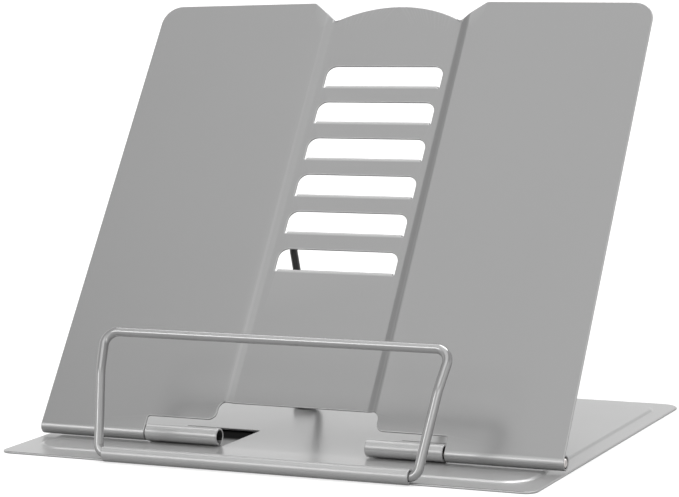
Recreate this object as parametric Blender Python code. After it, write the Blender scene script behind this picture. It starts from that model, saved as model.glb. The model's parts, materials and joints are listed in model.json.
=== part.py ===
# Folding book stand of pressed sheet and bent wire, in metres, +Z up.
# The origin is the middle of its footprint on the table. The reader's side is -Y.
import math

import bmesh
import bpy
from mathutils import Vector
from mathutils.geometry import delaunay_2d_cdt

# Overall sizes
STAND_WIDTH = 0.210
PLATE_ANGLE = math.radians(55.1)
HINGE_HEIGHT = 0.0045
FRONT_EDGE_TO_HINGE = 0.0325
HINGE_TO_REAR_EDGE = 0.139

# Sheet of the base: a flat rim round a slightly raised panel
BASE_SHEET = 0.0008
PANEL_RISE = 0.0006
STEP_RUN = 0.0035
RIM_SIDE = 0.00625
RIM_FRONT = 0.00975
RIM_REAR = 0.00625
BASE_FRONT_CORNER = 0.0045
BASE_REAR_CORNER = 0.0080
PANEL_CORNER = 0.0120

# Hinge pins and the base's two rolled knuckles, with the windows their tabs leave
PIN_DIAMETER = 0.0034
PIN_GAP = 0.0003
PIN_CHAMFER = 0.0004
PIN_RECESS = 0.0060
KNUCKLE_INNER_END = 0.0298
KNUCKLE_LENGTH = 0.0301
KNUCKLE_SLACK = 0.0004
WINDOW_DEPTH = 0.0323
WINDOW_SIDE_GAP = 0.0006
WINDOW_CORNER = 0.0010
SLEEVE_GAP = 0.0005

# Sheet of the back plate, its outline measured up the plate from the hinge
PLATE_SHEET = 0.0008
PLATE_LENGTH = 0.1900
PLATE_SIDE_LENGTH = 0.1888
PLATE_CORNER = 0.0080
CHANNEL_DEPTH = 0.0010
CHANNEL_FLOOR_HALF = 0.0270
CHANNEL_WALL_RUN = 0.0043
ARCH_RADIUS = 0.0560
ARCH_TOP = 0.1886
VALLEY_HALF = 0.0266
VALLEY_HEIGHT = 0.1818
VALLEY_FILLET = 0.0020
FLANK_TOP_HALF = 0.0368
FLANK_FILLET = 0.0020
NOTCH_HEIGHT = 0.0059
NOTCH_FILLET = 0.0009
STEP_NOTCH_HALF = 0.0322
STEP_NOTCH_HEIGHT = 0.0135
STEP_NOTCH_FILLET = 0.0032

# The six slots and the lips bent back from their lower edges
SLOT_COUNT = 6
SLOT_HALF = 0.0247
SLOT_FIRST = 0.0704
SLOT_PITCH = 0.01636
SLOT_HEIGHT = 0.0084
SLOT_TOP_FILLET = 0.0040
SLOT_LOW_FILLET = 0.0008
LIP_BEND = 0.0009
LIP_REACH = 0.0020
LIP_TAPER = 0.0025

# Page holder wire, hinged in the curl of the base's front edge
PAGE_WIRE = 0.0035
PAGE_WIRE_GAP = 0.0003
CURL_HALF = 0.0601
PAGE_WIRE_TILT = math.radians(70.3)
PAGE_LEG_HALF = 0.0625
PAGE_LEG_SPREAD = 0.0061
PAGE_HEIGHT = 0.0458
PAGE_KINK_HEIGHT = 0.0306
PAGE_KINK_ANGLE = math.radians(11.6)
PAGE_KINK_RADIUS = 0.0200
PAGE_FOOT_BEND = 0.0037
PAGE_TOP_BEND = 0.0050
PAGE_BUTT_GAP = 0.0010

# Prop wire, which carries the plate under one of the lips
PROP_WIRE = 0.0030
PROP_WIRE_GAP = 0.0003
PROP_AXIS_TO_HINGE = 0.0810
PROP_BAR_HALF = 0.0230
PROP_FOOT_HALF = 0.0269
PROP_FOOT_BEND = 0.0030
PROP_TOP_BEND = 0.0045
PROP_STUB = 0.0110
PROP_EYE_LENGTH = 0.0070
PROP_EYE_GAP = 0.0006
PROP_WINDOW_DEPTH = 0.0150
PROP_SLOT = 1
PROP_LIP_GAP = 0.0003
PROP_SWING_GAP = 0.0006

# Facets: segments of a full turn of rolled sheet, sides of a wire, steps of a fillet
ROLL_TURN = 28
WIRE_SIDES = 16
PIN_SIDES = 28
FILLET_STEPS = 4
WIRE_BEND_STEPS = 8
ARCH_STEPS = 10
LIP_STEPS = 4
KNUCKLE_RISE = math.radians(60)
KNUCKLE_OPEN = math.radians(10)
EYE_OPEN = math.radians(62)
PLATE_ROLL_OPEN = math.radians(54)
CURL_OPEN = math.radians(60)

# Sizes that follow from those above
HALF_WIDTH = STAND_WIDTH / 2
PIN_BORE = PIN_DIAMETER / 2 + PIN_GAP
PLATE_ROLL_RADIUS = PIN_BORE + PLATE_SHEET / 2
KNUCKLE_RADIUS = PIN_BORE + KNUCKLE_SLACK + BASE_SHEET / 2
KNUCKLE_HEIGHT = HINGE_HEIGHT + KNUCKLE_SLACK
KNUCKLE_FOOT_Y = KNUCKLE_RADIUS * math.sin(KNUCKLE_RISE)
KNUCKLE_FOOT_Z = KNUCKLE_HEIGHT - KNUCKLE_RADIUS * math.cos(KNUCKLE_RISE)
CURL_RADIUS = PAGE_WIRE / 2 + PAGE_WIRE_GAP + BASE_SHEET / 2
EYE_RADIUS = PROP_WIRE / 2 + PROP_WIRE_GAP + BASE_SHEET / 2
CURL_OUTER = CURL_RADIUS + BASE_SHEET / 2
RIM_MID = BASE_SHEET / 2
PANEL_MID = RIM_MID + PANEL_RISE
KNUCKLE_TAB_RISE = KNUCKLE_FOOT_Z - PANEL_MID
KNUCKLE_TAB_RUN = KNUCKLE_TAB_RISE / math.tan(KNUCKLE_RISE)
KNUCKLE_OUTER_END = KNUCKLE_INNER_END + KNUCKLE_LENGTH
FOOTPRINT = CURL_OUTER + FRONT_EDGE_TO_HINGE + HINGE_TO_REAR_EDGE
HINGE_Y = CURL_OUTER + FRONT_EDGE_TO_HINGE - FOOTPRINT / 2
CURL_Y = HINGE_Y - FRONT_EDGE_TO_HINGE
CURL_HEIGHT = RIM_MID + CURL_RADIUS
PROP_Y = HINGE_Y + PROP_AXIS_TO_HINGE
PROP_HEIGHT = PANEL_MID + EYE_RADIUS
SLEEVE_INNER_END = KNUCKLE_OUTER_END + SLEEVE_GAP
PROP_EYE_INNER_END = PROP_FOOT_HALF + PROP_FOOT_BEND + PROP_EYE_GAP
CHANNEL_HALF = CHANNEL_FLOOR_HALF + CHANNEL_WALL_RUN
CHANNEL_MID = PLATE_ROLL_RADIUS - CHANNEL_DEPTH
CHANNEL_REAR = CHANNEL_MID - PLATE_SHEET / 2

# Colours of the paint and of the bare pins: red, green, blue, roughness, metallic
PAINT = (0.42, 0.42, 0.42, 0.35, 0.6)
WIRE_PAINT = (0.40, 0.40, 0.40, 0.30, 0.6)
DARK_WIRE = (0.10, 0.10, 0.10, 0.35, 0.6)
BARE_STEEL = (0.70, 0.70, 0.70, 0.25, 1.0)


def clear_scene():
    for item in list(bpy.data.objects):
        bpy.data.objects.remove(item, do_unlink=True)


def make_material(name, finish):
    material = bpy.data.materials.new(name)
    material.use_nodes = True
    shader = material.node_tree.nodes["Principled BSDF"]
    shader.inputs["Base Color"].default_value = (*finish[:3], 1.0)
    shader.inputs["Roughness"].default_value = finish[3]
    shader.inputs["Metallic"].default_value = finish[4]
    material.diffuse_color = (*finish[:3], 1.0)
    return material


def place(name, data, location, material):
    item = bpy.data.objects.new(name, data)
    item.location = location
    data.materials.append(material)
    bpy.context.collection.objects.link(item)
    return item


# Outlines

def bend(before, here, after, steps):
    """Points of the arc that rounds the corner here, each corner being (x, y, radius)."""
    corner = Vector(here[:2])
    radius = here[2]
    if not radius:
        return [corner]
    back = (Vector(before[:2]) - corner).normalized()
    ahead = (Vector(after[:2]) - corner).normalized()
    half = back.angle(ahead) / 2
    centre = corner + (back + ahead).normalized() * (radius / math.sin(half))
    start = corner + back * (radius / math.tan(half)) - centre
    finish = corner + ahead * (radius / math.tan(half)) - centre
    sweep = -start.angle_signed(finish)
    points = []
    for step in range(steps + 1):
        turn = sweep * step / steps
        points.append(centre + Vector((start.x * math.cos(turn) - start.y * math.sin(turn),
                                       start.x * math.sin(turn) + start.y * math.cos(turn))))
    return points


def filleted(corners):
    """Points along a closed outline of (x, y, radius) corners."""
    points = []
    for before, here, after in zip(corners[-1:] + corners, corners, corners[1:] + corners[:1]):
        points += bend(before, here, after, FILLET_STEPS)
    return points


def rounded_box(left, right, low, high, radius):
    return filleted([(left, low, radius), (right, low, radius),
                     (right, high, radius), (left, high, radius)])


def mirrored(corners):
    """A right-hand run of corners from the bottom up, closed by its mirror image."""
    return corners + [(-x, y, radius) for x, y, radius in reversed(corners)]


def holds(outline, point):
    """True where the closed outline goes round the point."""
    inside = False
    for start, end in zip(outline, outline[1:] + outline[:1]):
        if (start.y > point.y) != (end.y > point.y):
            cross = start.x + (end.x - start.x) * (point.y - start.y) / (end.y - start.y)
            inside = inside != (point.x < cross)
    return inside


def sheet_mesh(outline, holes, loops, lines, height):
    """The middle surface of a sheet: a filled outline with holes, folded along loops and lines."""
    points = []
    edges = []
    for loop in [outline, *holes, *loops]:
        first = len(points)
        points += loop
        edges += [(first + i, first + (i + 1) % len(loop)) for i in range(len(loop))]
    for start, end in lines:
        edges.append((len(points), len(points) + 1))
        points += [start, end]
    tolerance = PIN_GAP / 1000
    flat, _, faces, _, _, _ = delaunay_2d_cdt(points, edges, [], 1, tolerance)
    bm = bmesh.new()
    corners = [bm.verts.new((p.x, p.y, height(p))) for p in flat]
    for face in faces:
        middle = sum((flat[i] for i in face), Vector((0, 0))) / len(face)
        if holds(outline, middle) and not any(holds(hole, middle) for hole in holes):
            bm.faces.new([corners[i] for i in face])
    for corner in corners:
        if not corner.link_faces:
            bm.verts.remove(corner)
    bmesh.ops.recalc_face_normals(bm, faces=bm.faces)
    return bm


def free_edges(bm, low, high, level):
    """Boundary edges on the line y = level, from x = low to x = high."""
    slack = PIN_GAP / 100

    def fits(vertex):
        on_line = abs(vertex.co.y - level) < slack
        return on_line and low - slack < vertex.co.x < high + slack

    return [e for e in bm.edges if e.is_boundary and all(fits(v) for v in e.verts)]


def roll(bm, edges, centre, angle, turn=ROLL_TURN):
    """Sweeps edges round an X axis through the centre; returns the edges at the end."""
    steps = max(2, round(turn * abs(angle) / (2 * math.pi)))
    made = bmesh.ops.spin(bm, geom=edges, cent=centre, axis=(1, 0, 0),
                          angle=angle, steps=steps, use_duplicate=False)
    return [e for e in made["geom_last"] if isinstance(e, bmesh.types.BMEdge)]


def push(bm, edges, offset):
    """Extends edges by a flat strip; returns the edges at its end."""
    made = bmesh.ops.extrude_edge_only(bm, edges=edges)["geom"]
    bmesh.ops.translate(bm, verts=[v for v in made if isinstance(v, bmesh.types.BMVert)], vec=offset)
    return [e for e in made if isinstance(e, bmesh.types.BMEdge) and e.is_boundary
            and all(v in made for v in e.verts)]


def thicken(item, thickness):
    solid = item.modifiers.new("Thickness", "SOLIDIFY")
    solid.thickness = thickness
    solid.offset = 0
    solid.use_even_offset = True
    solid.use_quality_normals = True


def sheet_object(name, bm, thickness, location, material):
    bmesh.ops.recalc_face_normals(bm, faces=bm.faces)
    mesh = bpy.data.meshes.new(name)
    bm.to_mesh(mesh)
    bm.free()
    mesh.shade_smooth()
    mesh.set_sharp_from_angle(angle=math.radians(30))
    item = place(name, mesh, location, material)
    thicken(item, thickness)
    return item


# Base plate

def tab_window(side, inner, length, gap, root, depth):
    """Window round a tab, which starts from the middle stretch of the window's front edge."""
    outer = inner + length
    corners = [(side * x, root, 0) for x in (inner - gap, inner, outer, outer + gap)]
    corners += [(side * x, root + depth, WINDOW_CORNER) for x in (outer + gap, inner - gap)]
    return filleted(corners)


def panel_outline(inset):
    """Outline of the panel's step, inset from where the step leaves the rim."""
    half = HALF_WIDTH - RIM_SIDE - inset
    return rounded_box(-half, half, CURL_Y + RIM_FRONT + inset,
                       HINGE_Y + HINGE_TO_REAR_EDGE - RIM_REAR - inset, PANEL_CORNER - inset)


def panel_surface(point):
    """Height of the base's middle surface, from how far inside the step's outline the point is."""
    low = CURL_Y + RIM_FRONT
    high = HINGE_Y + HINGE_TO_REAR_EDGE - RIM_REAR
    across = abs(point.x) - (HALF_WIDTH - RIM_SIDE) + PANEL_CORNER
    along = abs(point.y - (low + high) / 2) - (high - low) / 2 + PANEL_CORNER
    outside = math.hypot(max(across, 0), max(along, 0))
    depth = PANEL_CORNER - outside - min(max(across, along), 0)
    return RIM_MID + PANEL_RISE * min(1, max(0, depth / STEP_RUN))


def tab_edges(bm, side, inner, length, root):
    near, far = sorted((side * inner, side * (inner + length)))
    return free_edges(bm, near, far, root)


def base_plate(material):
    front = CURL_Y
    rear = HINGE_Y + HINGE_TO_REAR_EDGE
    outline = filleted([
        (-HALF_WIDTH, front, BASE_FRONT_CORNER), (-CURL_HALF, front, 0), (CURL_HALF, front, 0),
        (HALF_WIDTH, front, BASE_FRONT_CORNER), (HALF_WIDTH, rear, BASE_REAR_CORNER),
        (-HALF_WIDTH, rear, BASE_REAR_CORNER)])
    knuckle_root = HINGE_Y + KNUCKLE_FOOT_Y - KNUCKLE_TAB_RUN
    holes = []
    for side in (-1, 1):
        holes.append(tab_window(side, KNUCKLE_INNER_END, KNUCKLE_LENGTH, WINDOW_SIDE_GAP,
                                knuckle_root, HINGE_Y + WINDOW_DEPTH - knuckle_root))
        holes.append(tab_window(side, PROP_EYE_INNER_END, PROP_EYE_LENGTH, WINDOW_SIDE_GAP,
                                PROP_Y, PROP_WINDOW_DEPTH))
    bm = sheet_mesh(outline, holes, [panel_outline(0), panel_outline(STEP_RUN)], [], panel_surface)

    curl = free_edges(bm, -CURL_HALF, CURL_HALF, front)
    roll(bm, curl, (0, CURL_Y, CURL_HEIGHT), CURL_OPEN - 2 * math.pi)
    for side in (-1, 1):
        knuckle = tab_edges(bm, side, KNUCKLE_INNER_END, KNUCKLE_LENGTH, knuckle_root)
        knuckle = push(bm, knuckle, (0, KNUCKLE_TAB_RUN, KNUCKLE_TAB_RISE))
        roll(bm, knuckle, (0, HINGE_Y, KNUCKLE_HEIGHT), 2 * math.pi - KNUCKLE_RISE - KNUCKLE_OPEN)
        eye = tab_edges(bm, side, PROP_EYE_INNER_END, PROP_EYE_LENGTH, PROP_Y)
        roll(bm, eye, (0, PROP_Y, PROP_HEIGHT), 2 * math.pi - EYE_OPEN)
    return sheet_object("base_plate", bm, BASE_SHEET, (0, 0, 0), material)


# Back plate

def plate_outline():
    right = [
        (SLEEVE_INNER_END, 0, 0),
        (HALF_WIDTH, 0, 0),
        (HALF_WIDTH, PLATE_SIDE_LENGTH, PLATE_CORNER),
        (FLANK_TOP_HALF, PLATE_LENGTH, FLANK_FILLET),
        (VALLEY_HALF, VALLEY_HEIGHT, VALLEY_FILLET),
    ]
    arch_half_angle = math.asin(VALLEY_HALF / ARCH_RADIUS)
    for step in range(1, ARCH_STEPS):
        angle = arch_half_angle * (1 - step / ARCH_STEPS)
        drop = ARCH_RADIUS * (1 - math.cos(angle))
        right.append((ARCH_RADIUS * math.sin(angle), ARCH_TOP - drop, 0))
    below = [
        (STEP_NOTCH_HALF, STEP_NOTCH_HEIGHT, STEP_NOTCH_FILLET),
        (STEP_NOTCH_HALF, NOTCH_HEIGHT, STEP_NOTCH_FILLET),
        (SLEEVE_INNER_END, NOTCH_HEIGHT, NOTCH_FILLET),
    ]
    return filleted(mirrored(below + right))


def slot_base(index):
    """Height of a slot's bend line on the plate's middle surface."""
    return SLOT_FIRST + index * SLOT_PITCH - LIP_BEND - PLATE_SHEET / 2


def slot_outline(index):
    low = slot_base(index)
    high = SLOT_FIRST + index * SLOT_PITCH + SLOT_HEIGHT
    top = SLOT_TOP_FILLET
    return filleted([(-SLOT_HALF, low, SLOT_LOW_FILLET), (SLOT_HALF, low, SLOT_LOW_FILLET),
                     (SLOT_HALF, high, top), (-SLOT_HALF, high, top)])


def channel_surface(point):
    """Height of the plate's middle surface over the hinge axis, across the plate."""
    share = (abs(point.x) - CHANNEL_FLOOR_HALF) / CHANNEL_WALL_RUN
    return CHANNEL_MID + CHANNEL_DEPTH * min(1, max(0, share))


def back_plate(material):
    folds = []
    beyond = PLATE_CORNER
    for half in (CHANNEL_FLOOR_HALF, CHANNEL_HALF):
        for side in (-1, 1):
            folds.append((Vector((side * half, -beyond)), Vector((side * half, PLATE_LENGTH + beyond))))
    slots = [slot_outline(index) for index in range(SLOT_COUNT)]
    bm = sheet_mesh(plate_outline(), slots, [], folds, channel_surface)

    for side in (-1, 1):
        near, far = sorted((side * SLEEVE_INNER_END, side * HALF_WIDTH))
        sleeve = free_edges(bm, near, far, 0)
        roll(bm, sleeve, (0, 0, 0), 2 * math.pi - PLATE_ROLL_OPEN)
    reach = CHANNEL_MID - LIP_BEND - CHANNEL_REAR + LIP_REACH
    root_half = SLOT_HALF - SLOT_LOW_FILLET
    for index in range(SLOT_COUNT):
        low = slot_base(index)
        root = free_edges(bm, -root_half, root_half, low)
        bend = roll(bm, root, (0, low, CHANNEL_MID - LIP_BEND), -math.pi / 2, LIP_STEPS * 4)
        tip = push(bm, bend, (0, 0, -reach))
        for corner in {v for edge in tip for v in edge.verts}:
            corner.co.x -= math.copysign(LIP_TAPER, corner.co.x)
    plate = sheet_object("back_plate", bm, PLATE_SHEET, (0, HINGE_Y, HINGE_HEIGHT), material)
    plate.rotation_euler.x = PLATE_ANGLE
    return plate


# Hinge pins

def hinge_pin(name, side, material):
    length = HALF_WIDTH - KNUCKLE_INNER_END - PIN_RECESS
    radius = PIN_DIAMETER / 2
    profile = [(0, 0), (radius - PIN_CHAMFER, 0), (radius, PIN_CHAMFER),
               (radius, length - PIN_CHAMFER), (radius - PIN_CHAMFER, length), (0, length)]
    bm = bmesh.new()
    corners = [bm.verts.new((x, 0, r)) for r, x in profile]
    edges = [bm.edges.new(pair) for pair in zip(corners, corners[1:])]
    bmesh.ops.spin(bm, geom=corners + edges, cent=(0, 0, 0), axis=(1, 0, 0),
                   angle=2 * math.pi, steps=PIN_SIDES, use_duplicate=False)
    bmesh.ops.remove_doubles(bm, verts=bm.verts, dist=PIN_GAP / 10)
    bmesh.ops.recalc_face_normals(bm, faces=bm.faces)
    mesh = bpy.data.meshes.new(name)
    bm.to_mesh(mesh)
    bm.free()
    mesh.shade_smooth()
    mesh.set_sharp_from_angle(angle=math.radians(30))
    start = KNUCKLE_INNER_END + PIN_RECESS if side > 0 else -HALF_WIDTH
    return place(name, mesh, (start, HINGE_Y, HINGE_HEIGHT), material)


# Wires

def wire_object(name, points, diameter, location, tilt, material):
    """A round wire along the points, which lie in the plane it turns in, before its tilt."""
    curve = bpy.data.curves.new(name, "CURVE")
    curve.dimensions = "3D"
    curve.bevel_depth = diameter / 2
    curve.bevel_resolution = (WIRE_SIDES - 4) // 2
    curve.use_fill_caps = True
    spline = curve.splines.new("POLY")
    spline.points.add(len(points) - 1)
    for target, point in zip(spline.points, points):
        target.co = (*point, 1)
    spline.use_smooth = True
    item = place(name, curve, location, material)
    item.rotation_euler.x = tilt
    return item


def wire_run(corners):
    """An open run of (x, y, radius) corners as points, with its bends as arcs."""
    points = [Vector(corners[0][:2])]
    for before, here, after in zip(corners, corners[1:], corners[2:]):
        points += bend(before, here, after, WIRE_BEND_STEPS)
    return [*points, Vector(corners[-1][:2])]


def with_rings(points, levels):
    """Adds points where the run crosses the given heights."""
    result = [points[0]]
    for start, end in zip(points, points[1:]):
        crossed = [h for h in levels if min(start.y, end.y) < h < max(start.y, end.y)]
        crossed.sort(reverse=end.y < start.y)
        for level in crossed:
            result.append(start.lerp(end, (level - start.y) / (end.y - start.y)))
        result.append(end)
    return result


def kinked(point):
    """Bends the page wire's plane back over its kink, a short arc."""
    length = PAGE_KINK_RADIUS * PAGE_KINK_ANGLE
    start = PAGE_KINK_HEIGHT - length / 2
    if point.y <= start:
        return point.x, point.y, 0
    turned = min(point.y - start, length) / PAGE_KINK_RADIUS
    y = start + PAGE_KINK_RADIUS * math.sin(turned)
    z = -PAGE_KINK_RADIUS * (1 - math.cos(turned))
    rest = max(0, point.y - start - length)
    return point.x, y + rest * math.cos(turned), z - rest * math.sin(turned)


def page_holder(material):
    top_half = PAGE_LEG_HALF + PAGE_LEG_SPREAD
    run = wire_run([
        (PAGE_BUTT_GAP / 2, 0, 0),
        (PAGE_LEG_HALF, 0, PAGE_FOOT_BEND),
        (top_half, PAGE_HEIGHT, PAGE_TOP_BEND),
        (-top_half, PAGE_HEIGHT, PAGE_TOP_BEND),
        (-PAGE_LEG_HALF, 0, PAGE_FOOT_BEND),
        (-PAGE_BUTT_GAP / 2, 0, 0),
    ])
    bend_half = PAGE_KINK_RADIUS * PAGE_KINK_ANGLE / 2
    levels = [PAGE_KINK_HEIGHT + bend_half * share for share in (-1, -0.5, 0, 0.5, 1)]
    points = [kinked(point) for point in with_rings(run, levels)]
    return wire_object("page_holder", points, PAGE_WIRE, (0, CURL_Y, CURL_HEIGHT),
                       PAGE_WIRE_TILT, material)


def prop_bar_place():
    """Middle of the prop's bar, seen from the prop's axis: below a lip and clear of the lips' ends."""
    lip_under = slot_base(PROP_SLOT) + LIP_BEND - PLATE_SHEET / 2
    along = lip_under - PROP_LIP_GAP - PROP_WIRE / 2
    over = CHANNEL_REAR - LIP_REACH - PROP_SWING_GAP - PROP_WIRE / 2
    y = HINGE_Y + along * math.cos(PLATE_ANGLE) - over * math.sin(PLATE_ANGLE)
    z = HINGE_HEIGHT + along * math.sin(PLATE_ANGLE) + over * math.cos(PLATE_ANGLE)
    return Vector((y - PROP_Y, z - PROP_HEIGHT))


def prop(material):
    bar = prop_bar_place()
    stub_end = PROP_FOOT_HALF + PROP_STUB
    points = wire_run([
        (stub_end, 0, 0),
        (PROP_FOOT_HALF, 0, PROP_FOOT_BEND),
        (PROP_BAR_HALF, bar.length, PROP_TOP_BEND),
        (-PROP_BAR_HALF, bar.length, PROP_TOP_BEND),
        (-PROP_FOOT_HALF, 0, PROP_FOOT_BEND),
        (-stub_end, 0, 0),
    ])
    tilt = math.atan2(bar.y, bar.x)
    return wire_object("prop", [(p.x, p.y, 0) for p in points], PROP_WIRE,
                       (0, PROP_Y, PROP_HEIGHT), tilt, material)


def build():
    clear_scene()
    base_plate(make_material("base_paint", PAINT))
    back_plate(make_material("plate_paint", PAINT))
    hinge_pin("hinge_pin_left", -1, make_material("left_pin_steel", BARE_STEEL))
    hinge_pin("hinge_pin_right", 1, make_material("right_pin_steel", BARE_STEEL))
    page_holder(make_material("holder_paint", WIRE_PAINT))
    prop(make_material("prop_wire", DARK_WIRE))


build()
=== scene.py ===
import json
import math

import bmesh
import bpy
from mathutils import Matrix, Vector
from mathutils.geometry import delaunay_2d_cdt


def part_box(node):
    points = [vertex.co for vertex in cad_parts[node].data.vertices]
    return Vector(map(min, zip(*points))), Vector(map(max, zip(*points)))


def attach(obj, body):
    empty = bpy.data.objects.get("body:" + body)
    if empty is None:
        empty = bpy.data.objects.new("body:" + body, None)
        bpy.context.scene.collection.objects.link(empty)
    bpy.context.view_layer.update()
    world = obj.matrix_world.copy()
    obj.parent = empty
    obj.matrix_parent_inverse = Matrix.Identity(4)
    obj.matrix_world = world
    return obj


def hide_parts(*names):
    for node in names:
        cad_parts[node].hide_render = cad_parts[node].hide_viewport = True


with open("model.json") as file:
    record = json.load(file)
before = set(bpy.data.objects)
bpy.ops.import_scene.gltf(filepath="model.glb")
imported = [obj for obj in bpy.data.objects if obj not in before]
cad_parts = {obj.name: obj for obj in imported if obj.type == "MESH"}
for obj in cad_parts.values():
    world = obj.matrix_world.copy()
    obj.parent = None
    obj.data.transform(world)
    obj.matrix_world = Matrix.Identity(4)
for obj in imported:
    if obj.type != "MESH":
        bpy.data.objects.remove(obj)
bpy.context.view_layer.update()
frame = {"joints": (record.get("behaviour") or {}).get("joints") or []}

# A folding book stand: two painted sheets, two wires and two pins, all in metres.
# The fine sheets and wires take their places from the frame's joint axes.

jointAt = {joint["name"]: Vector(joint["pos_m"]) for joint in frame["joints"]}
hingeAxis = jointAt["plate_fold"]
curlAxis = jointAt["holder_swing"]
propAxis = jointAt["prop_swing"]
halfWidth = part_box("base_plate")[1].x
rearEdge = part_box("base_plate")[1].y

shared = {
    "sheet": 0.0008,
    "edgeRound": 0.00034,
    "edgeBand": 0.00055,
    "pinRadius": 0.0017,
    "runningGap": 0.0003,
    "filletSteps": 10,
    "turnSteps": 56,
    "foldSteps": 7,
    "roundSteps": 3,
    "roundFrom": math.radians(50),
    "mergeWithin": 1e-7,
    "lineSlack": 3e-6,
}


# Outlines and sheets

def bend(before, here, after, steps):
    # the arc that rounds one corner of an outline; a corner is x, y and radius
    corner = Vector(here[:2])
    radius = here[2]
    if not radius:
        return [corner]
    back = (Vector(before[:2]) - corner).normalized()
    ahead = (Vector(after[:2]) - corner).normalized()
    half = back.angle(ahead) / 2
    centre = corner + (back + ahead).normalized() * (radius / math.sin(half))
    start = corner + back * (radius / math.tan(half)) - centre
    finish = corner + ahead * (radius / math.tan(half)) - centre
    sweep = -start.angle_signed(finish)
    return [centre + Matrix.Rotation(sweep * i / steps, 2) @ start for i in range(steps + 1)]


def mirrored(corners):
    # the same corners on the left, in the order that goes on round the outline
    return [(-x, y, radius) for x, y, radius in reversed(corners)]


def filleted(corners):
    points = []
    for before, here, after in zip(corners[-1:] + corners, corners, corners[1:] + corners[:1]):
        points += bend(before, here, after, shared["filletSteps"])
    return points


def insideOf(outline, point):
    inside = False
    for start, end in zip(outline, outline[1:] + outline[:1]):
        if (start.y > point.y) != (end.y > point.y):
            cross = start.x + (end.x - start.x) * (point.y - start.y) / (end.y - start.y)
            inside = inside != (point.x < cross)
    return inside


def smooth(share):
    share = min(1, max(0, share))
    return share * share * (3 - 2 * share)


def edgeBand(loop, side):
    # a loop inside (1) or outside (-1) of a cut edge, so the edge's round keeps to a narrow band
    turn = sum(a.x * b.y - a.y * b.x for a, b in zip(loop, loop[1:] + loop[:1]))
    side *= math.copysign(1, turn)
    band = []
    for before, here, after in zip(loop[-1:] + loop, loop, loop[1:] + loop[:1]):
        along = (here - before).normalized() + (after - here).normalized()
        half = along.length / 2
        across = Vector((-along.y, along.x)).normalized()
        band.append(here + across * (side * shared["edgeBand"] / half))
    return band


def sheetMesh(outline, holes, loops, folds, height):
    # the sheet's middle surface, creased along loops and fold lines
    points = []
    edges = []
    bands = [edgeBand(outline, 1)] + [edgeBand(hole, -1) for hole in holes]
    for loop in [outline, *holes, *loops, *bands]:
        first = len(points)
        points += loop
        edges += [(first + i, first + (i + 1) % len(loop)) for i in range(len(loop))]
    for start, end in folds:
        edges.append((len(points), len(points) + 1))
        points += [start, end]
    flat, _, faces, _, _, _ = delaunay_2d_cdt(points, edges, [], 1, shared["mergeWithin"])
    bm = bmesh.new()
    corners = [bm.verts.new((p.x, p.y, height(p))) for p in flat]
    for face in faces:
        middle = sum((flat[i] for i in face), Vector((0, 0))) / len(face)
        if insideOf(outline, middle) and not any(insideOf(hole, middle) for hole in holes):
            bm.faces.new([corners[i] for i in face])
    for corner in corners:
        if not corner.link_faces:
            bm.verts.remove(corner)
    bmesh.ops.recalc_face_normals(bm, faces=bm.faces)
    return bm


def freeEdges(bm, low, high, level):
    # open edges on the line y = level between two x values
    slack = shared["lineSlack"]

    def fits(vertex):
        return abs(vertex.co.y - level) < slack and low - slack < vertex.co.x < high + slack

    return [e for e in bm.edges if e.is_boundary and all(fits(v) for v in e.verts)]


def roll(bm, edges, centre, angle):
    steps = max(3, round(shared["turnSteps"] * abs(angle) / (2 * math.pi)))
    made = bmesh.ops.spin(bm, geom=edges, cent=centre, axis=(1, 0, 0),
                          angle=angle, steps=steps, use_duplicate=False)
    return [e for e in made["geom_last"] if isinstance(e, bmesh.types.BMEdge)]


def push(bm, edges, offset):
    made = bmesh.ops.extrude_edge_only(bm, edges=edges)["geom"]
    bmesh.ops.translate(bm, verts=[v for v in made if isinstance(v, bmesh.types.BMVert)], vec=offset)
    return [e for e in made if isinstance(e, bmesh.types.BMEdge) and e.is_boundary
            and all(v in made for v in e.verts)]


def sheetPiece(name, bm):
    # gives the middle surface its thickness and the cut edges their small round
    bmesh.ops.recalc_face_normals(bm, faces=bm.faces)
    mesh = bpy.data.meshes.new(name)
    bm.to_mesh(mesh)
    bm.free()
    mesh.shade_smooth()
    piece = bpy.data.objects.new(name, mesh)
    bpy.context.collection.objects.link(piece)
    solid = piece.modifiers.new("thickness", "SOLIDIFY")
    solid.thickness = shared["sheet"]
    solid.offset = 0
    solid.use_even_offset = True
    solid.use_quality_normals = True
    edge = piece.modifiers.new("edgeRound", "BEVEL")
    edge.width = shared["edgeRound"]
    edge.segments = shared["roundSteps"]
    edge.limit_method = "ANGLE"
    edge.angle_limit = shared["roundFrom"]
    edge.use_clamp_overlap = False
    smoothing = piece.modifiers.new("smoothing", "WEIGHTED_NORMAL")
    smoothing.keep_sharp = False
    return piece


# Base plate

base = {
    "frontCorner": 0.0045,
    "rearCorner": 0.0080,
    "panelRise": 0.0006,
    "stepRun": 0.0022,
    "rimSide": 0.00625,
    "rimFront": 0.00975,
    "rimRear": 0.00625,
    "panelCorner": 0.0120,
    "curlHalf": 0.0601,
    "curlOpen": math.radians(60),
    "knuckleInner": 0.0298,
    "knuckleLength": 0.0301,
    "knuckleSlack": 0.0004,
    "knuckleRise": math.radians(60),
    "knuckleOpen": math.radians(10),
    "eyeOpen": math.radians(62),
    "windowDepth": 0.0323,
    "windowGap": 0.0006,
    "windowCorner": 0.0010,
    "propEyeInner": 0.0305,
    "propEyeLength": 0.0070,
    "propWindow": 0.0150,
}


def tabEnds(side, inner, length):
    return sorted((side * inner, side * (inner + length)))


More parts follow.
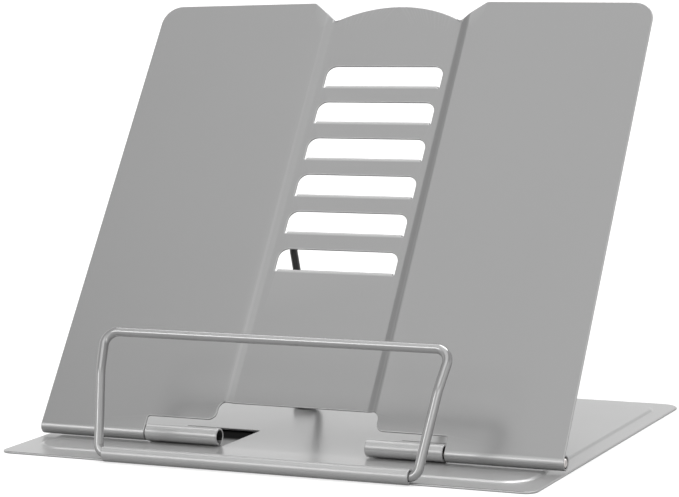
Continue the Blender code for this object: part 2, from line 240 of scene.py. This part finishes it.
def tabWindow(side, inner, length, root, depth):
    # the window that a tab leaves, with two thin cuts beside the tab's root
    gap = base["windowGap"]
    outer = inner + length
    corners = [(side * x, root, 0) for x in (inner - gap, inner, outer, outer + gap)]
    corners += [(side * x, root + depth, base["windowCorner"]) for x in (outer + gap, inner - gap)]
    return filleted(corners)


def panelBounds():
    return (halfWidth - base["rimSide"], curlAxis.y + base["rimFront"], rearEdge - base["rimRear"])


def panelLoop(inset):
    # the panel's outline drawn in by the inset
    half, low, high = panelBounds()
    half, low, high = half - inset, low + inset, high - inset
    radius = base["panelCorner"] - inset
    corners = ((-half, low), (half, low), (half, high), (-half, high))
    return filleted([(x, y, radius) for x, y in corners])


def panelSurface(point):
    # height of the sheet's middle: the rim, then the smooth step up to the panel
    half, low, high = panelBounds()
    radius = base["panelCorner"]
    across = abs(point.x) - half + radius
    along = abs(point.y - (low + high) / 2) - (high - low) / 2 + radius
    depth = radius - math.hypot(max(across, 0), max(along, 0)) - min(max(across, along), 0)
    return shared["sheet"] / 2 + base["panelRise"] * smooth(smooth(depth / base["stepRun"]))


def makeBase():
    front = curlAxis.y
    near, far, curl = base["frontCorner"], base["rearCorner"], base["curlHalf"]
    outline = filleted([
        (-halfWidth, front, near), (-curl, front, 0), (curl, front, 0), (halfWidth, front, near),
        (halfWidth, rearEdge, far), (-halfWidth, rearEdge, far)])
    panel = shared["sheet"] / 2 + base["panelRise"]
    centre = hingeAxis + Vector((0, 0, base["knuckleSlack"]))
    radius = shared["pinRadius"] + shared["runningGap"] + base["knuckleSlack"] + shared["sheet"] / 2
    rise = centre.z - radius * math.cos(base["knuckleRise"]) - panel
    run = rise / math.tan(base["knuckleRise"])
    root = centre.y + radius * math.sin(base["knuckleRise"]) - run
    knuckle = base["knuckleInner"], base["knuckleLength"]
    eye = base["propEyeInner"], base["propEyeLength"]
    holes = []
    for side in (-1, 1):
        holes.append(tabWindow(side, *knuckle, root, hingeAxis.y + base["windowDepth"] - root))
        holes.append(tabWindow(side, *eye, propAxis.y, base["propWindow"]))
    steps = shared["foldSteps"]
    loops = [panelLoop(base["stepRun"] * i / steps) for i in range(steps + 1)]
    bm = sheetMesh(outline, holes, loops, [], panelSurface)
    roll(bm, freeEdges(bm, -curl, curl, front), curlAxis, base["curlOpen"] - 2 * math.pi)
    for side in (-1, 1):
        tab = push(bm, freeEdges(bm, *tabEnds(side, *knuckle), root), (0, run, rise))
        roll(bm, tab, centre, 2 * math.pi - base["knuckleRise"] - base["knuckleOpen"])
        tab = freeEdges(bm, *tabEnds(side, *eye), propAxis.y)
        roll(bm, tab, propAxis, 2 * math.pi - base["eyeOpen"])
    piece = sheetPiece("basePlateFine", bm)
    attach(piece, "base")
    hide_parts("base_plate")
    print("base plate made")
    return piece


# Back plate, drawn flat as x across and y up from the hinge, then tilted

plate = {
    "angle": math.radians(55.1),
    "length": 0.1900,
    "sideLength": 0.1888,
    "cornerRadius": 0.0080,
    "channelDepth": 0.0010,
    "channelFloor": 0.0270,
    "channelWall": 0.0043,
    "archRadius": 0.0560,
    "archTop": 0.1886,
    "archSteps": 40,
    "valleyHalf": 0.0266,
    "valleyHeight": 0.1818,
    "valleyFillet": 0.0020,
    "flankHalf": 0.0368,
    "flankFillet": 0.0020,
    "notchHalf": 0.0604,
    "notchHeight": 0.0059,
    "notchFillet": 0.0009,
    "stepHalf": 0.0322,
    "stepHeight": 0.0135,
    "stepFillet": 0.0032,
    "rollOpen": math.radians(54),
    "slotCount": 6,
    "slotHalf": 0.0247,
    "slotFirst": 0.0704,
    "slotPitch": 0.01636,
    "slotHeight": 0.0084,
    "slotTopFillet": 0.0040,
    "slotLowFillet": 0.0008,
    "lipBend": 0.0009,
    "lipReach": 0.0020,
    "lipTaper": 0.0025,
}


def plateOutline():
    rollEnd = plate["notchHalf"]
    right = [
        (plate["stepHalf"], plate["stepHeight"], plate["stepFillet"]),
        (plate["stepHalf"], plate["notchHeight"], plate["stepFillet"]),
        (rollEnd, plate["notchHeight"], plate["notchFillet"]),
        (rollEnd, 0, 0),
        (halfWidth, 0, 0),
        (halfWidth, plate["sideLength"], plate["cornerRadius"]),
        (plate["flankHalf"], plate["length"], plate["flankFillet"]),
        (plate["valleyHalf"], plate["valleyHeight"], plate["valleyFillet"]),
    ]
    half = math.asin(plate["valleyHalf"] / plate["archRadius"])
    for i in range(1, plate["archSteps"]):
        angle = half * (1 - i / plate["archSteps"])
        drop = plate["archRadius"] * (1 - math.cos(angle))
        right.append((plate["archRadius"] * math.sin(angle), plate["archTop"] - drop, 0))
    return filleted(right + mirrored(right))


def slotRoot(index):
    # where a slot's lip begins to bend back
    return plate["slotFirst"] + index * plate["slotPitch"] - plate["lipBend"] - shared["sheet"] / 2


def slotOutline(index):
    low = slotRoot(index)
    high = plate["slotFirst"] + index * plate["slotPitch"] + plate["slotHeight"]
    half, top, foot = plate["slotHalf"], plate["slotTopFillet"], plate["slotLowFillet"]
    right = [(half, low, foot), (half, high, top)]
    return filleted(right + mirrored(right))


def makePlate():
    sleeve = shared["pinRadius"] + shared["runningGap"] + shared["sheet"] / 2
    floor = sleeve - plate["channelDepth"]

    def channelSurface(point):
        share = (abs(point.x) - plate["channelFloor"]) / plate["channelWall"]
        return floor + plate["channelDepth"] * smooth(share)

    folds = []
    beyond = plate["cornerRadius"]
    steps = shared["foldSteps"]
    for i in range(steps + 1):
        half = plate["channelFloor"] + plate["channelWall"] * i / steps
        for x in (-half, half):
            folds.append((Vector((x, -beyond)), Vector((x, plate["length"] + beyond))))
    slots = [slotOutline(index) for index in range(plate["slotCount"])]
    bm = sheetMesh(plateOutline(), slots, [], folds, channelSurface)
    for side in (-1, 1):
        ends = sorted((side * plate["notchHalf"], side * halfWidth))
        roll(bm, freeEdges(bm, *ends, 0), (0, 0, 0), 2 * math.pi - plate["rollOpen"])
    rear = floor - shared["sheet"] / 2
    reach = floor - plate["lipBend"] - rear + plate["lipReach"]
    rootHalf = plate["slotHalf"] - plate["slotLowFillet"]
    for index in range(plate["slotCount"]):
        low = slotRoot(index)
        lip = freeEdges(bm, -rootHalf, rootHalf, low)
        lip = roll(bm, lip, (0, low, floor - plate["lipBend"]), -math.pi / 2)
        lip = push(bm, lip, (0, 0, -reach))
        for corner in {v for edge in lip for v in edge.verts}:
            corner.co.x -= math.copysign(plate["lipTaper"], corner.co.x)
    tilt = Matrix.Rotation(plate["angle"], 3, "X")
    bmesh.ops.rotate(bm, verts=bm.verts, cent=(0, 0, 0), matrix=tilt)
    piece = sheetPiece("backPlateFine", bm)
    piece.location = hingeAxis
    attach(piece, "plate")
    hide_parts("back_plate")
    print("back plate made")
    return piece


# Hinge pins: cropped rod with a small chamfer, staked at the visible end

pin = {
    "inner": 0.0358,
    "chamfer": 0.0004,
    "dimple": 0.00035,
    "dimpleRadius": 0.0007,
    "sides": 48,
    "mergeWithin": 1e-6,
    "sharpFrom": math.radians(35),
}


def makePin(name, side, node):
    radius, chamfer = shared["pinRadius"], pin["chamfer"]
    length = halfWidth - pin["inner"]
    profile = [
        (length - pin["dimple"], 0), (length, pin["dimpleRadius"]), (length, radius - chamfer),
        (length - chamfer / 3, radius - chamfer / 3), (length - chamfer, radius),
        (chamfer, radius), (0, radius - chamfer), (0, 0)]
    bm = bmesh.new()
    corners = [bm.verts.new((side * (pin["inner"] + x), 0, r)) for x, r in profile]
    edges = [bm.edges.new(pair) for pair in zip(corners, corners[1:])]
    bmesh.ops.spin(bm, geom=corners + edges, cent=(0, 0, 0), axis=(1, 0, 0),
                   angle=2 * math.pi, steps=pin["sides"], use_duplicate=False)
    bmesh.ops.remove_doubles(bm, verts=bm.verts, dist=pin["mergeWithin"])
    bmesh.ops.recalc_face_normals(bm, faces=bm.faces)
    mesh = bpy.data.meshes.new(name)
    bm.to_mesh(mesh)
    bm.free()
    mesh.shade_smooth()
    mesh.set_sharp_from_angle(angle=pin["sharpFrom"])
    piece = bpy.data.objects.new(name, mesh)
    bpy.context.collection.objects.link(piece)
    piece.location = hingeAxis
    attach(piece, "base")
    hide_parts(node)
    print(name, "made")
    return piece


# Wires

wires = {
    "bendSteps": 14,
    "sides": 28,
    "endRound": 0.2,
    "mitreLeast": 0.5,
    "steep": 0.7,
    "sharpFrom": math.radians(50),
}

holder = {
    "diameter": 0.0035,
    "tilt": math.radians(70.3),
    "legHalf": 0.0625,
    "legSpread": 0.0061,
    "height": 0.0458,
    "kinkHeight": 0.0306,
    "kinkAngle": math.radians(11.6),
    "kinkRadius": 0.0200,
    "kinkRings": 5,
    "footBend": 0.0037,
    "topBend": 0.0050,
    "buttGap": 0.0010,
}

prop = {
    "diameter": 0.0030,
    "barHalf": 0.0230,
    "footHalf": 0.0269,
    "footBend": 0.0030,
    "topBend": 0.0045,
    "stub": 0.0110,
}


def wireRun(corners):
    points = [Vector(corners[0][:2])]
    for before, here, after in zip(corners, corners[1:], corners[2:]):
        points += bend(before, here, after, wires["bendSteps"])
    return [*points, Vector(corners[-1][:2])]


def withRings(points, levels):
    # more points where the run crosses the given heights
    result = [points[0]]
    for start, end in zip(points, points[1:]):
        crossed = [h for h in levels if min(start.y, end.y) < h < max(start.y, end.y)]
        crossed.sort(reverse=end.y < start.y)
        result += [start.lerp(end, (h - start.y) / (end.y - start.y)) for h in crossed]
        result.append(end)
    return result


def wirePiece(name, points, diameter, location, tilt, body, node):
    # a round wire swept along the points, with slightly rounded cut ends
    radius = diameter / 2
    sides = wires["sides"]
    bm = bmesh.new()
    rings = []
    cut = radius * wires["endRound"]
    count = len(points)
    for i, point in enumerate(points):
        back = (point - points[i - 1]).normalized() if i else (points[1] - point).normalized()
        ahead = (points[i + 1] - point).normalized() if i < count - 1 else back
        along = (back + ahead).normalized()
        stretch = 1 / max(wires["mitreLeast"], along.dot(ahead))
        upwards = Vector((0, 0, 1)) if abs(along.z) < wires["steep"] else Vector((0, 1, 0))
        across = along.cross(upwards).normalized()
        upwards = across.cross(along)
        places = [(point, radius)]
        if i == 0:
            places = [(point, radius - cut), (point + along * cut, radius)]
        if i == count - 1:
            places = [(point - along * cut, radius), (point, radius - cut)]
        for middle, size in places:
            ring = []
            for j in range(sides):
                angle = 2 * math.pi * j / sides
                out = across * (size * stretch * math.cos(angle))
                ring.append(bm.verts.new(middle + out + upwards * (size * math.sin(angle))))
            rings.append(ring)
    for low, high in zip(rings, rings[1:]):
        for j in range(sides):
            k = (j + 1) % sides
            bm.faces.new((low[j], low[k], high[k], high[j]))
    bm.faces.new(rings[0])
    bm.faces.new(rings[-1])
    bmesh.ops.recalc_face_normals(bm, faces=bm.faces)
    mesh = bpy.data.meshes.new(name)
    bm.to_mesh(mesh)
    bm.free()
    mesh.transform(Matrix.Rotation(tilt, 4, "X"))
    mesh.shade_smooth()
    mesh.set_sharp_from_angle(angle=wires["sharpFrom"])
    piece = bpy.data.objects.new(name, mesh)
    bpy.context.collection.objects.link(piece)
    piece.location = location
    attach(piece, body)
    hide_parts(node)
    print(name, "made")
    return piece


def kinked(point):
    # bends the holder's upper part back over a short arc
    length = holder["kinkRadius"] * holder["kinkAngle"]
    start = holder["kinkHeight"] - length / 2
    if point.y <= start:
        return Vector((point.x, point.y, 0))
    turned = min(point.y - start, length) / holder["kinkRadius"]
    rest = max(0, point.y - start - length)
    y = start + holder["kinkRadius"] * math.sin(turned) + rest * math.cos(turned)
    z = -holder["kinkRadius"] * (1 - math.cos(turned)) - rest * math.sin(turned)
    return Vector((point.x, y, z))


def makeHolder():
    foot, high, butt = holder["legHalf"], holder["height"], holder["buttGap"] / 2
    top = foot + holder["legSpread"]
    right = [(butt, 0, 0), (foot, 0, holder["footBend"]), (top, high, holder["topBend"])]
    run = wireRun(right + mirrored(right))
    half = holder["kinkRadius"] * holder["kinkAngle"] / 2
    rings = holder["kinkRings"]
    levels = [holder["kinkHeight"] + half * (i / rings - 1) for i in range(2 * rings + 1)]
    points = [kinked(point) for point in withRings(run, levels)]
    return wirePiece("pageHolderFine", points, holder["diameter"], curlAxis, holder["tilt"],
                     "holder", "page_holder")


def makeProp():
    low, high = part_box("prop")
    radius = prop["diameter"] / 2
    bar = Vector((low.y + radius - propAxis.y, high.z - radius - propAxis.z))
    foot, top = prop["footHalf"], prop["barHalf"]
    end = foot + prop["stub"]
    right = [(end, 0, 0), (foot, 0, prop["footBend"]), (top, bar.length, prop["topBend"])]
    run = wireRun(right + mirrored(right))
    return wirePiece("propFine", [p.to_3d() for p in run], prop["diameter"], propAxis,
                     math.atan2(bar.y, bar.x), "prop", "prop")


# Shared shader effects

enamel = {
    "drift": {"scale": 16.0, "detail": 3.0},
    "fleck": {"scale": 2600.0, "detail": 1.0},
    "mottle": {"scale": 45.0, "detail": 4.0},
    "peel": {"scale": 900.0, "detail": 2.0},
    "peelDepth": 0.00002,
}

# painted highlight on cut edges: how sharp an edge must be, and how far it must face up, to be painted
# brighter
paintedEdgeHighlightMask = {
    "sharpFrom": 0.505,  # pointiness, 0.5 being flat
    "sharpTo": 0.56,
    "upFrom": -0.1,  # how far the surface looks up
    "upTo": 0.2,
}

# painted shade inside the rolls: how much darker, and how far past the running gap it reaches
bore = {"dark": 0.9, "reach": 1.2}


def newGroup(name, inputs, outputs):
    group = bpy.data.node_groups.new(name, "ShaderNodeTree")
    for label, kind, value in inputs:
        socket = group.interface.new_socket(name=label, in_out="INPUT", socket_type=kind)
        socket.default_value = value
    for label, kind in outputs:
        group.interface.new_socket(name=label, in_out="OUTPUT", socket_type=kind)
    return group, group.nodes.new("NodeGroupInput"), group.nodes.new("NodeGroupOutput")


def mathNode(tree, operation, first, second):
    node = tree.nodes.new("ShaderNodeMath")
    node.operation = operation
    for socket, value in zip(node.inputs, (first, second)):
        if isinstance(value, (int, float)):
            socket.default_value = value
        else:
            tree.links.new(value, socket)
    return node.outputs[0]


def noiseNode(tree, vector, noise):
    node = tree.nodes.new("ShaderNodeTexNoise")
    node.inputs["Detail"].default_value = noise["detail"]
    node.inputs["Scale"].default_value = noise["scale"]
    tree.links.new(vector, node.inputs["Vector"])
    return node.outputs["Fac"]


def rampNode(tree, value, low, high, first=0.0, last=1.0, kind="LINEAR"):
    node = tree.nodes.new("ShaderNodeMapRange")
    node.interpolation_type = kind
    for label, number in zip(("From Min", "From Max", "To Min", "To Max"), (low, high, first, last)):
        node.inputs[label].default_value = number
    tree.links.new(value, node.inputs["Value"])
    return node.outputs["Result"]


def scaledColor(tree, color, factor):
    node = tree.nodes.new("ShaderNodeVectorMath")
    node.operation = "SCALE"
    tree.links.new(color, node.inputs[0])
    tree.links.new(factor, node.inputs["Scale"])
    return node.outputs[0]


def partsOf(tree, vector):
    node = tree.nodes.new("ShaderNodeSeparateXYZ")
    tree.links.new(vector, node.inputs[0])
    return node.outputs


def placeOf(tree, label="Object"):
    return tree.nodes.new("ShaderNodeTexCoord").outputs[label]


def paintGroup():
    # sprayed enamel: slow drift of tone, fine fleck, mottled gloss and orange peel
    group, given, out = newGroup(
        "sprayedPaint",
        [("Tone", "NodeSocketColor", (0.35, 0.35, 0.35, 1)), ("Drift", "NodeSocketFloat", 0.03),
         ("Fleck", "NodeSocketFloat", 0.04), ("Gloss", "NodeSocketFloat", 0.3),
         ("Mottle", "NodeSocketFloat", 0.05)],
        [("Color", "NodeSocketColor"), ("Roughness", "NodeSocketFloat"), ("Height", "NodeSocketFloat")])
    place = placeOf(group)
    swing = {}
    for key, label in (("drift", "Drift"), ("fleck", "Fleck"), ("mottle", "Mottle")):
        around = mathNode(group, "SUBTRACT", noiseNode(group, place, enamel[key]), 0.5)
        swing[key] = mathNode(group, "MULTIPLY", around, given.outputs[label])
    change = mathNode(group, "ADD", swing["drift"], swing["fleck"])
    color = scaledColor(group, given.outputs["Tone"], mathNode(group, "ADD", change, 1.0))
    group.links.new(color, out.inputs["Color"])
    rough = mathNode(group, "ADD", swing["mottle"], given.outputs["Gloss"])
    group.links.new(rough, out.inputs["Roughness"])
    group.links.new(noiseNode(group, place, enamel["peel"]), out.inputs["Height"])
    return group


def paintedEdgeHighlightGroup():
    # painted highlight: where a cut edge is sharp and faces up, its colour is lifted towards white,
    # standing in for the light its round catches
    group, given, out = newGroup(
        "paintedEdgeHighlight",
        [("Color", "NodeSocketColor", (0.35, 0.35, 0.35, 1)), ("Amount", "NodeSocketFloat", 0.1)],
        [("Color", "NodeSocketColor")])
    pointiness = group.nodes.new("ShaderNodeNewGeometry").outputs["Pointiness"]
    sharp = rampNode(group, pointiness, paintedEdgeHighlightMask["sharpFrom"], paintedEdgeHighlightMask["sharpTo"])
    facing = partsOf(group, placeOf(group, "Normal"))["Z"]
    upper = rampNode(group, facing, paintedEdgeHighlightMask["upFrom"], paintedEdgeHighlightMask["upTo"])
    mask = mathNode(group, "MULTIPLY", sharp, upper)
    mask = mathNode(group, "MULTIPLY", mask, given.outputs["Amount"])
    mix = group.nodes.new("ShaderNodeMix")
    mix.data_type = "RGBA"
    mix.blend_type = "ADD"
    group.links.new(mask, mix.inputs[0])
    group.links.new(given.outputs["Color"], mix.inputs[6])
    mix.inputs[7].default_value = (1, 1, 1, 1)
    group.links.new(mix.outputs[2], out.inputs["Color"])
    return group


def boreGroup():
    # painted shade inside a roll: the colour is darkened within the given radius of the roll's axis
    group, given, out = newGroup(
        "boreShade",
        [("Color", "NodeSocketColor", (0.35, 0.35, 0.35, 1)), ("Y", "NodeSocketFloat", 0.0),
         ("Z", "NodeSocketFloat", 0.0), ("Radius", "NodeSocketFloat", 0.002),
         ("Dark", "NodeSocketFloat", bore["dark"])],
        [("Color", "NodeSocketColor")])
    parts = partsOf(group, placeOf(group))
    squares = []
    for label in "YZ":
        offset = mathNode(group, "SUBTRACT", parts[label], given.outputs[label])
        squares.append(mathNode(group, "MULTIPLY", offset, offset))
    distance = mathNode(group, "SQRT", mathNode(group, "ADD", *squares), 0.0)
    near = mathNode(group, "LESS_THAN", distance, given.outputs["Radius"])
    dark = mathNode(group, "MULTIPLY", near, given.outputs["Dark"])
    color = scaledColor(group, given.outputs["Color"], mathNode(group, "SUBTRACT", 1.0, dark))
    group.links.new(color, out.inputs["Color"])
    return group


def newMaterial(name):
    material = bpy.data.materials.new(name)
    material.use_nodes = True
    return material, material.node_tree, material.node_tree.nodes["Principled BSDF"]


def placedGroup(tree, group, values):
    node = tree.nodes.new("ShaderNodeGroup")
    node.node_tree = group
    for label, value in values.items():
        node.inputs[label].default_value = value
    return node


def bumped(tree, shader, height, strength, depth):
    bump = tree.nodes.new("ShaderNodeBump")
    bump.inputs["Strength"].default_value = strength
    bump.inputs["Distance"].default_value = depth
    tree.links.new(height, bump.inputs["Height"])
    tree.links.new(bump.outputs["Normal"], shader.inputs["Normal"])


def paintMaterial(name, look, bores=()):
    material, tree, shader = newMaterial(name)
    paint = placedGroup(tree, sprayedPaint, {
        "Tone": (*[look["tone"]] * 3, 1), "Drift": look["drift"], "Fleck": look["fleck"],
        "Gloss": look["gloss"], "Mottle": look["mottle"]})
    # painted highlight on the upper cut edges, then painted shade inside the rolls
    layers = [placedGroup(tree, paintedEdgeHighlight, {"Amount": look["edgeHighlight"]})]
    for y, z, radius in bores:
        layers.append(placedGroup(tree, boreShade, {"Y": y, "Z": z, "Radius": radius}))
    color = paint.outputs["Color"]
    for layer in layers:
        tree.links.new(color, layer.inputs["Color"])
        color = layer.outputs["Color"]
    tree.links.new(color, shader.inputs["Base Color"])
    tree.links.new(paint.outputs["Roughness"], shader.inputs["Roughness"])
    bumped(tree, shader, paint.outputs["Height"], look["peel"], enamel["peelDepth"])
    shader.inputs["Metallic"].default_value = look["metallic"]
    shader.inputs["Coat Weight"].default_value = look["coat"]
    shader.inputs["Coat Roughness"].default_value = look["coatRoughness"]
    return material


def steelMaterial():
    # bare rod with fine rings left by the cropping
    material, tree, shader = newMaterial("pinSteel")
    lathe = tree.nodes.new("ShaderNodeTexWave")
    lathe.wave_type = "RINGS"
    lathe.rings_direction = "X"
    lathe.inputs["Scale"].default_value = bareSteel["ringScale"]
    lathe.inputs["Distortion"].default_value = bareSteel["ringWobble"]
    tree.links.new(placeOf(tree), lathe.inputs["Vector"])
    change = mathNode(tree, "MULTIPLY", lathe.outputs["Fac"], bareSteel["ringGloss"])
    rough = mathNode(tree, "ADD", change, bareSteel["gloss"])
    tree.links.new(rough, shader.inputs["Roughness"])
    bumped(tree, shader, lathe.outputs["Fac"], bareSteel["ringBump"], bareSteel["ringDepth"])
    shader.inputs["Base Color"].default_value = bareSteel["color"]
    shader.inputs["Metallic"].default_value = 1.0
    return material


bareSteel = {
    "color": (0.80, 0.76, 0.74, 1),
    "gloss": 0.18,
    "ringScale": 2600.0,
    "ringWobble": 1.5,
    "ringGloss": 0.12,
    "ringBump": 0.25,
    "ringDepth": 0.00001,
}

looks = {
    # the base and the plate are one paint: the base's tone is set lighter than the plate's as painted
    # light, for the stronger light the base catches
    "base": {
        "tone": 0.415, "drift": 0.03, "fleck": 0.02, "gloss": 0.33, "mottle": 0.04, "edgeHighlight": 0.0,
        "peel": 0.03, "metallic": 0.40, "coat": 0.45, "coatRoughness": 0.22},
    # only the plate gets the painted highlight on its upper cut edges
    "plate": {
        "tone": 0.279, "drift": 0.03, "fleck": 0.02, "gloss": 0.30, "mottle": 0.03, "edgeHighlight": 0.30,
        "peel": 0.03, "metallic": 0.40, "coat": 0.45, "coatRoughness": 0.16},
    "holder": {
        "tone": 0.34, "drift": 0.03, "fleck": 0.02, "gloss": 0.17, "mottle": 0.04, "edgeHighlight": 0.0,
        "peel": 0.05, "metallic": 0.50, "coat": 0.45, "coatRoughness": 0.08},
    "prop": {
        "tone": 0.09, "drift": 0.04, "fleck": 0.02, "gloss": 0.32, "mottle": 0.04, "edgeHighlight": 0.0,
        "peel": 0.15, "metallic": 0.50, "coat": 0.15, "coatRoughness": 0.12},
}


# Stage, lights and camera

stage = {
    "floorHalf": 30.0,
    "floorTone": 0.50,
    "floorRough": 0.9,
    "floorLift": 0.60,
    "floorMirror": 0.08,
    "shadeTone": 0.02,
    "shadeInset": 0.012,
    "shadeFrom": 0.014,
    "shadeTo": 0.022,
    "shadeHeight": 0.0001,
    "skyLight": 0.38,
    "skyMirror": 0.50,
    "skyFrom": 0.15,
    "skyTo": 0.50,
}

lamps = {
    "top": {"from": (-0.04, -0.37, 0.92), "angle": 60, "strength": 0.86},
    "back": {"from": (0.05, 0.50, 0.86), "angle": 34, "strength": 1.45},
    "front": {"from": (0.22, -0.84, 0.48), "angle": 48, "strength": 0.34},
    "right": {"from": (0.85, -0.40, 0.35), "angle": 30, "strength": 0.14},
    "leftGlint": {"from": (-0.43, -0.80, 0.42), "angle": 20, "strength": 0.34},
    "overGlint": {"from": (-0.41, 0.32, 0.86), "angle": 20, "strength": 0.22},
    "rightGlint": {"from": (0.62, -0.70, 0.35), "angle": 14, "strength": 0.13},
}

view = {
    "at": (0.37934, -0.835245, 0.17788),
    "turn": math.radians(24.631),
    "dip": math.radians(6.706),
    "lean": math.radians(-1.012),
    "focalPixels": 2430.11,
    "photoWidth": 679,
    "sensor": 36.0,
}


def floorMaterial(name, tone):
    material, tree, shader = newMaterial(name)
    shader.inputs["Base Color"].default_value = (tone, tone, tone, 1)
    shader.inputs["Roughness"].default_value = stage["floorRough"]
    shader.inputs["Specular IOR Level"].default_value = 0.0
    return material, tree, shader


def floorSheet(name, corners, height, material):
    mesh = bpy.data.meshes.new(name)
    mesh.from_pydata([(x, y, height) for x, y in corners], [], [(0, 1, 2, 3)])
    mesh.materials.append(material)
    floor = bpy.data.objects.new(name, mesh)
    bpy.context.collection.objects.link(floor)


def rectangle(left, right, low, high):
    return [(left, low), (right, low), (right, high), (left, high)]


def makeFloor():
    # a grey floor, lifted to white where it is seen and paler where it is mirrored
    material, tree, shader = floorMaterial("studioFloor", stage["floorTone"])
    shader.inputs["Emission Color"].default_value = (1, 1, 1, 1)
    rays = tree.nodes.new("ShaderNodeLightPath")
    seen = mathNode(tree, "MULTIPLY", rays.outputs["Is Camera Ray"], stage["floorLift"])
    glossy = mathNode(tree, "MULTIPLY", rays.outputs["Is Glossy Ray"], stage["floorMirror"])
    tree.links.new(mathNode(tree, "ADD", seen, glossy), shader.inputs["Emission Strength"])
    half = stage["floorHalf"]
    floorSheet("studioFloor", rectangle(-half, half, -half, half), 0, material)


def makeShade():
    # the narrow space under the base: plain floor in front, deep shade behind the hinge
    material, tree, shader = floorMaterial("underBase", stage["shadeTone"])
    tone = rampNode(tree, partsOf(tree, placeOf(tree))["Y"],
                    hingeAxis.y + stage["shadeFrom"], hingeAxis.y + stage["shadeTo"],
                    stage["floorTone"], stage["shadeTone"], "SMOOTHSTEP")
    tree.links.new(tone, shader.inputs["Base Color"])
    inset = stage["shadeInset"]
    patch = rectangle(inset - halfWidth, halfWidth - inset, curlAxis.y + inset, rearEdge - inset)
    floorSheet("underBase", patch, stage["shadeHeight"], material)


def makeSky():
    # white behind the stand; mirrored, the sky is white near the horizon and greyer above
    world = bpy.data.worlds.new("studioSky")
    world.use_nodes = True
    bpy.context.scene.world = world
    tree = world.node_tree
    sky = tree.nodes["Background"]
    sky.inputs["Color"].default_value = (1, 1, 1, 1)
    rays = tree.nodes.new("ShaderNodeLightPath")
    mirror = rampNode(tree, partsOf(tree, placeOf(tree, "Generated"))["Z"],
                      stage["skyFrom"], stage["skyTo"], 1.0, stage["skyMirror"], "SMOOTHSTEP")
    mirror = mathNode(tree, "SUBTRACT", mirror, stage["skyLight"])
    mirror = mathNode(tree, "MULTIPLY", rays.outputs["Is Glossy Ray"], mirror)
    seen = mathNode(tree, "MAXIMUM", rays.outputs["Is Camera Ray"],
                    rays.outputs["Is Transmission Ray"])
    white = mathNode(tree, "MULTIPLY", seen, 1 - stage["skyLight"])
    level = mathNode(tree, "ADD", mathNode(tree, "ADD", mirror, white), stage["skyLight"])
    tree.links.new(level, sky.inputs["Strength"])


def makeLamps():
    for name, lamp in lamps.items():
        light = bpy.data.lights.new(name + "Light", "SUN")
        light.energy = lamp["strength"]
        light.angle = math.radians(lamp["angle"])
        source = bpy.data.objects.new(name + "Light", light)
        source.rotation_euler = Vector(lamp["from"]).to_track_quat("Z", "Y").to_euler()
        bpy.context.collection.objects.link(source)


def makeCamera():
    data = bpy.data.cameras.new("photoCamera")
    data.sensor_width = view["sensor"]
    data.sensor_fit = "HORIZONTAL"
    data.lens = view["focalPixels"] / view["photoWidth"] * view["sensor"]
    camera = bpy.data.objects.new("photoCamera", data)
    bpy.context.collection.objects.link(camera)
    aim = Matrix.Rotation(view["turn"], 4, "Z") @ Matrix.Rotation(math.pi / 2 - view["dip"], 4, "X")
    aim = aim @ Matrix.Rotation(view["lean"], 4, "Z")
    camera.matrix_world = Matrix.Translation(view["at"]) @ aim
    bpy.context.scene.camera = camera


basePiece = makeBase()
platePiece = makePlate()
leftPin = makePin("leftPinFine", -1, "hinge_pin_left")
rightPin = makePin("rightPinFine", 1, "hinge_pin_right")
holderPiece = makeHolder()
propPiece = makeProp()

sprayedPaint = paintGroup()
paintedEdgeHighlight = paintedEdgeHighlightGroup()
boreShade = boreGroup()
# painted shade in the bores of the knuckles, the curl and the plate's sleeves
boreGap = shared["runningGap"] * bore["reach"]
sleeveBore = shared["pinRadius"] + boreGap
knuckleBore = (hingeAxis.y, hingeAxis.z + base["knuckleSlack"], sleeveBore + base["knuckleSlack"])
curlBore = (curlAxis.y, curlAxis.z, holder["diameter"] / 2 + boreGap)
boresOf = {"base": [knuckleBore, curlBore], "plate": [(0, 0, sleeveBore)]}
painted = {"base": basePiece, "plate": platePiece, "holder": holderPiece, "prop": propPiece}
for key, piece in painted.items():
    piece.data.materials.append(paintMaterial(key + "Paint", looks[key], boresOf.get(key, ())))
steel = steelMaterial()
for piece in (leftPin, rightPin):
    piece.data.materials.append(steel)
print("materials made")

makeFloor()
makeShade()
makeSky()
makeLamps()
makeCamera()
bpy.context.scene.view_settings.view_transform = "Standard"
print("stage made")
